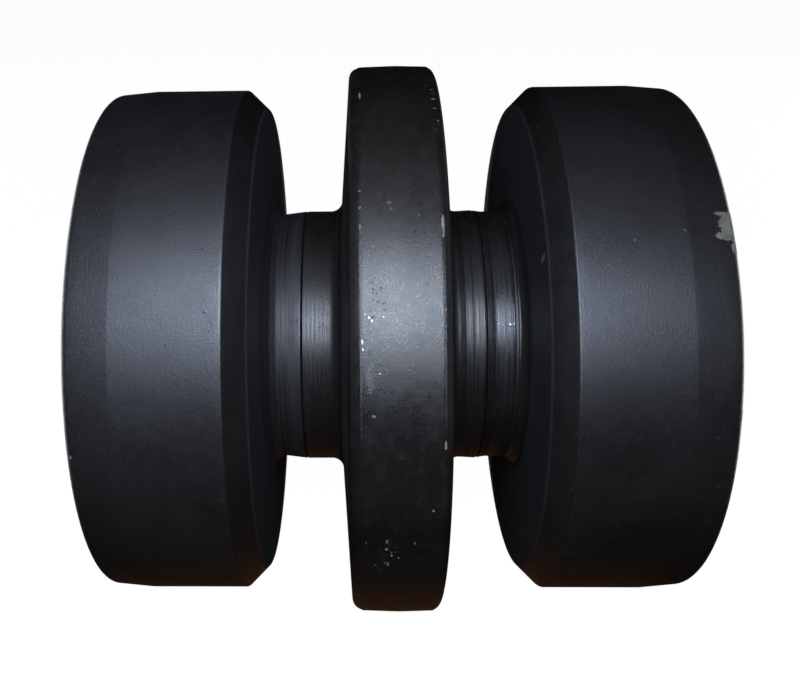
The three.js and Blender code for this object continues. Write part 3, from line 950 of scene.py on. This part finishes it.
NO_MARKS = {"rub_and_painted_highlight": [], "pale": [], "bare": [], "scored": [], "rust": []}
FLANGE_MARKS = {
    # Rubbed patches, and thin lighter lines along the rim's two edges that are painted edge
    # highlights over worn paint
    "rub_and_painted_highlight": [
        (4, -7.0, TOP, 5.0, 0.8, 1.0, 1.0),
        (-7.5, -6.2, TOP, 2.5, 1.0, 1.0, 1.0),
        (2, -7.8, TOP, 22.0, 0.2, 0.4, 1.5),
        (-2, 9.05, TOP, 20.0, 0.1, 0.4, 1.5),
    ],
    "pale": [
        (50, -7.7, EDGE, 1.6, 0.25, 0.9, 0.6),
        (24.5, -7.8, EDGE, 0.3, 0.3, 0.3, 0.5),
        (21.3, -7.8, EDGE, 0.3, 0.25, 0.3, 0.5),
        (17.8, -7.8, EDGE, 0.6, 0.25, 0.3, 0.5),
        (18.0, 9.0, EDGE, 2.6, 0.32, 0.5, 0.9),
        (52, 8.9, EDGE, 0.16, 0.5, 0.5, 0.5),
        (50.6, 8.9, EDGE, 0.2, 0.3, 0.5, 0.5),
        (48.2, 9.0, EDGE, 0.35, 0.55, 0.5, 0.5),
        (44.9, 9.0, EDGE, 0.16, 0.6, 0.5, 0.5),
        (41.2, 9.4, EDGE, 0.2, 0.3, 0.5, 0.5),
        (-31.0, 6.8, TOP, 0.4, 0.35, 0.8, 0.5),
        (-38.1, -2.7, TOP, 0.4, 0.25, 0.8, 0.5),
        (-38.5, 3.2, TOP, 0.35, 0.25, 0.4, 0.5),
        (-38.5, -7.0, TOP, 0.3, 0.15, 0.4, 0.5),
        (-40.1, -2.8, TOP, 0.4, 0.35, 0.5, 0.5),
        (-41.7, -1.7, TOP, 0.6, 0.2, 0.4, 0.5),
        (-42.3, -0.2, TOP, 0.3, 0.2, 0.4, 0.5),
        (-44.0, -3.0, TOP, 0.3, 0.15, 0.3, 0.5),
        (-44.2, -2.4, TOP, 0.6, 0.25, 0.5, 0.5),
        (-44.8, -5.0, TOP, 0.3, 0.15, 0.4, 0.5),
        (-18.6, 9.0, EDGE, 1.0, 0.25, 0.5, 0.6),
        (8.8, 5.6, TOP, 1.2, 0.12, 0.3, 0.6),
        (21, -1.4, TOP, 0.3, 0.25, 0.3, 0.5),
        (19.7, 4.2, TOP, 0.3, 0.25, 0.3, 0.5),
        (-13.5, -5.3, TOP, 0.3, 0.4, 0.6, 0.5),
    ],
    "bare": [
        (2.5, -6.1, TOP, 0.18, 0.22, 0.6, 0.3),
        (2.0, -5.6, TOP, 0.28, 0.16, 0.6, 0.3),
        (3.0, -6.9, TOP, 0.12, 0.12, 0.5, 0.3),
        (2.6, -3.3, TOP, 0.13, 0.13, 0.4, 0.3),
        (-1.4, -7.5, TOP, 0.5, 0.12, 0.5, 0.4),
        (-2.6, -7.4, TOP, 0.35, 0.12, 0.5, 0.4),
        (-6.5, -4.1, TOP, 0.14, 0.16, 0.4, 0.3),
    ],
    "scored": [
        (1.0, -6.4, TOP, 4.2, 1.3, 0.8, 1.6),
        (4.5, -4.0, TOP, 2.6, 1.6, 0.8, 1.2),
        (-7.5, -5.8, TOP, 1.9, 1.6, 0.8, 1.2),
        (14, -6.2, TOP, 3.0, 1.3, 0.8, 1.2),
        (7.5, -4.6, TOP, 2.2, 1.5, 0.8, 1.2),
        (-41, -1.8, TOP, 3.6, 2.2, 0.8, 1.2),
    ],
    "rust": [
        (22.2, -1.8, TOP, 0.35, 0.5, 0.4, 0.6),
        (3.7, 9.0, EDGE, 0.25, 0.2, 0.3, 0.5),
    ],
}
LEFT_WHEEL_MARKS = {
    # Thin lighter line along the tread's inner edge: painted edge highlight over worn paint
    "rub_and_painted_highlight": [(7, -36.8, TREAD - 0.2, 9, 0.25, 0.4, 1.5)],
    "pale": [
        (14.4, -37.0, TREAD, 1.4, 0.2, 0.4, 0.9),
        (-23.5, -68.8, 63.9, 0.5, 0.3, 0.3, 0.6),
        (4.0, -22.8, HUB_RADIUS, 0.5, 0.15, 0.6, 0.4),
    ],
    "bare": [],
    "scored": [],
    "rust": [],
}
RIGHT_WHEEL_MARKS = {
    "rub_and_painted_highlight": [],
    "pale": [
        (19.6, 69.1, 63.6, 3.6, 2.7, 0.5, 2.6),
        (17.6, 67.4, 64.2, 0.9, 2.2, 0.4, 1.8),
        (22.3, 67.3, 64.2, 0.5, 1.4, 0.4, 1.2),
        (15.4, 69.4, 63.8, 1.4, 0.9, 0.5, 1.6),
        (18.7, 59.2, TREAD, 0.25, 0.25, 0.2, 0.6),
        (16.5, 31.5, 55.5, 0.8, 0.12, 0.3, 0.8),
        (2.0, 29.7, HUB_RADIUS - 0.4, 9.0, 0.1, 0.5, 1.2),
    ],
    "bare": [
        (3.4, 27.4, HUB_RADIUS - 0.4, 0.12, 0.3, 0.5, 0.35),
        (3.7, 24.6, HUB_RADIUS - 0.4, 0.09, 0.10, 0.4, 0.3),
        (3.3, 25.7, HUB_RADIUS - 0.4, 0.08, 0.14, 0.4, 0.3),
        (3.6, 28.3, HUB_RADIUS - 0.4, 0.10, 0.12, 0.4, 0.3),
    ],
    "scored": [(3.4, 26.6, HUB_RADIUS - 0.4, 0.45, 2.6, 0.2, 0.8)],
    "rust": [
        (16.8, 48.7, TREAD, 0.25, 0.25, 0.2, 0.6),
        (-15.7, 69.6, 63.5, 1.8, 0.2, 0.3, 0.8),
    ],
}

# ---- Building and dressing the pieces ------------------------------------------------


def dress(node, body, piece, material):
    """Gives a piece its material, its body and its CAD node."""
    piece.data.materials.clear()
    piece.data.materials.append(material)
    piece.name = f"{node}_fine"
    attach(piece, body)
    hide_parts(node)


def build_pieces():
    steel = plain_metal("shaft_steel", (0.34, 0.335, 0.325), (0.24, 0.24, 0.235), 0.42, 0.25, 0.3)
    bronze = plain_metal("bush_bronze", (0.66, 0.46, 0.22), (0.52, 0.34, 0.16), 0.33, 0.2, 0.25)
    iron = plain_metal("seal_iron", (0.36, 0.36, 0.37), (0.26, 0.26, 0.27), 0.28, 0.12, 0.2)
    pin_steel = plain_metal("pin_steel", (0.26, 0.26, 0.27), (0.16, 0.16, 0.17), 0.36, 0.3, 0.3)
    plug_steel = plain_metal("plug_steel", (0.10, 0.10, 0.11), (0.05, 0.05, 0.055), 0.4, 0.3, 0.25)
    copper = plain_metal("washer_copper", (0.70, 0.38, 0.24), (0.5, 0.26, 0.16), 0.35, 0.2, 0.2)
    seal_rubber = rubber("seal_rubber")
    flange_paint = black_paint("flange_paint", True, FLANGE_LOOK, FLANGE_MARKS, FLANGE_TINT)
    collar_paint = black_paint("collar_paint", True, COLLAR_LOOK, NO_MARKS)
    wheel_marks = {-1: LEFT_WHEEL_MARKS, 1: RIGHT_WHEEL_MARKS}

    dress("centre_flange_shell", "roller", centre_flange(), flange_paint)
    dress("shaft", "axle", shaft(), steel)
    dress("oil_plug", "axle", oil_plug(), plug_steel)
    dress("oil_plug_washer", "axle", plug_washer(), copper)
    for hand, side in (("left", -1), ("right", 1)):
        wheel_paint = black_paint(
            f"{hand}_wheel_paint", False, WHEEL_LOOKS[side], wheel_marks[side]
        )
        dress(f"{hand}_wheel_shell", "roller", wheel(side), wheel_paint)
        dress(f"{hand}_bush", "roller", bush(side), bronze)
        turning_ring = seal_ring(side, -side)
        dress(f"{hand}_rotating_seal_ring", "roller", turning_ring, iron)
        still_ring = seal_ring(side, side)
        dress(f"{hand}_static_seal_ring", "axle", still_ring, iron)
        for ring, body in (
            ("rotating_toric", "roller"),
            ("static_toric", "axle"),
            ("collar_oring", "axle"),
        ):
            node = f"{hand}_{ring}"
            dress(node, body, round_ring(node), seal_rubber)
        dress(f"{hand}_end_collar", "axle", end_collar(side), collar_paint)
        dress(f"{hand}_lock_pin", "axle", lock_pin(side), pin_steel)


# ---- Stage ---------------------------------------------------------------------------


def floor():
    """A wide pale disc that the flange stands on, as bright as the background."""
    disc = revolve([(0, 0), (400, 0), (6000, 0)], 96)
    lay_out(disc, UPRIGHT, (0, 0, cad_low.z / MM))
    surface = Surface("floor")
    mottle = surface.noise(60, detail=3)
    colour = surface.mix(mottle, (0.125, 0.115, 0.10), (0.135, 0.125, 0.11))
    surface.finish(Base_Color=colour, Roughness=0.9, Specular_IOR_Level=0.0)
    surface.finish(Emission_Color=WHITE, Emission_Strength=0.97)
    disc.data.materials.append(surface.material)
    disc.visible_glossy = False
    disc.visible_diffuse = False
    disc.visible_shadow = False


def softbox(name, rise, swing, distance, size, watts, colour, glossy=True):
    """An area light that faces the roller's centre.

    Its rise is round the spin axis, and its swing from there towards +Y, in degrees.
    """
    outward, _ = round_the_axis(math.radians(rise))
    aside = math.radians(swing)
    direction = math.cos(aside) * outward + math.sin(aside) * Vector((0, 1, 0))
    data = bpy.data.lights.new(name, "AREA")
    data.shape = "DISK"
    data.size = size
    data.energy = watts
    data.color = colour
    light = bpy.data.objects.new(name, data)
    bpy.context.scene.collection.objects.link(light)
    light.location = direction * distance
    light.rotation_mode = "QUATERNION"
    light.rotation_quaternion = direction.to_track_quat("Z", "Y")
    light.visible_camera = False
    light.visible_glossy = glossy


def surroundings():
    """A plain background that lights nothing."""
    world = bpy.data.worlds.new("studio")
    bpy.context.scene.world = world
    world.use_nodes = True
    tree = world.node_tree
    background = tree.nodes["Background"]
    background.inputs["Color"].default_value = (*WHITE, 1)
    background.inputs["Strength"].default_value = 0.98
    world.cycles_visibility.glossy = False
    world.cycles_visibility.diffuse = False


def light_the_stage():
    """A soft key light near the camera, with weak light from all other sides."""
    cool = (0.9, 0.95, 1.0)
    neutral = (0.95, 0.98, 1.0)
    softbox(
        "key", rise=34.2, swing=-2.4, distance=0.263, size=0.152, watts=1.06,
        colour=(0.76, 0.88, 1.13),
    )
    softbox("top", rise=80, swing=0, distance=0.7, size=0.5, watts=0.25, colour=cool)
    softbox(
        "bounce", rise=-40, swing=0, distance=0.7, size=0.5, watts=0.9,
        colour=(1.0, 0.62, 0.36), glossy=False,
    )
    softbox(
        "warm_floor", rise=-112, swing=0, distance=0.7, size=0.6, watts=0.065,
        colour=(1.0, 0.42, 0.18),
    )
    for side in (-1, 1):
        softbox(
            "end_light", rise=60, swing=side * 82, distance=0.9, size=0.8, watts=0.55,
            colour=neutral,
        )
        softbox(
            "back_light", rise=196, swing=side * 62, distance=0.9, size=0.7, watts=6.5,
            colour=cool,
        )


bpy.context.scene.view_settings.view_transform = "Standard"
place_camera()
build_pieces()
floor()
surroundings()
light_the_stage()
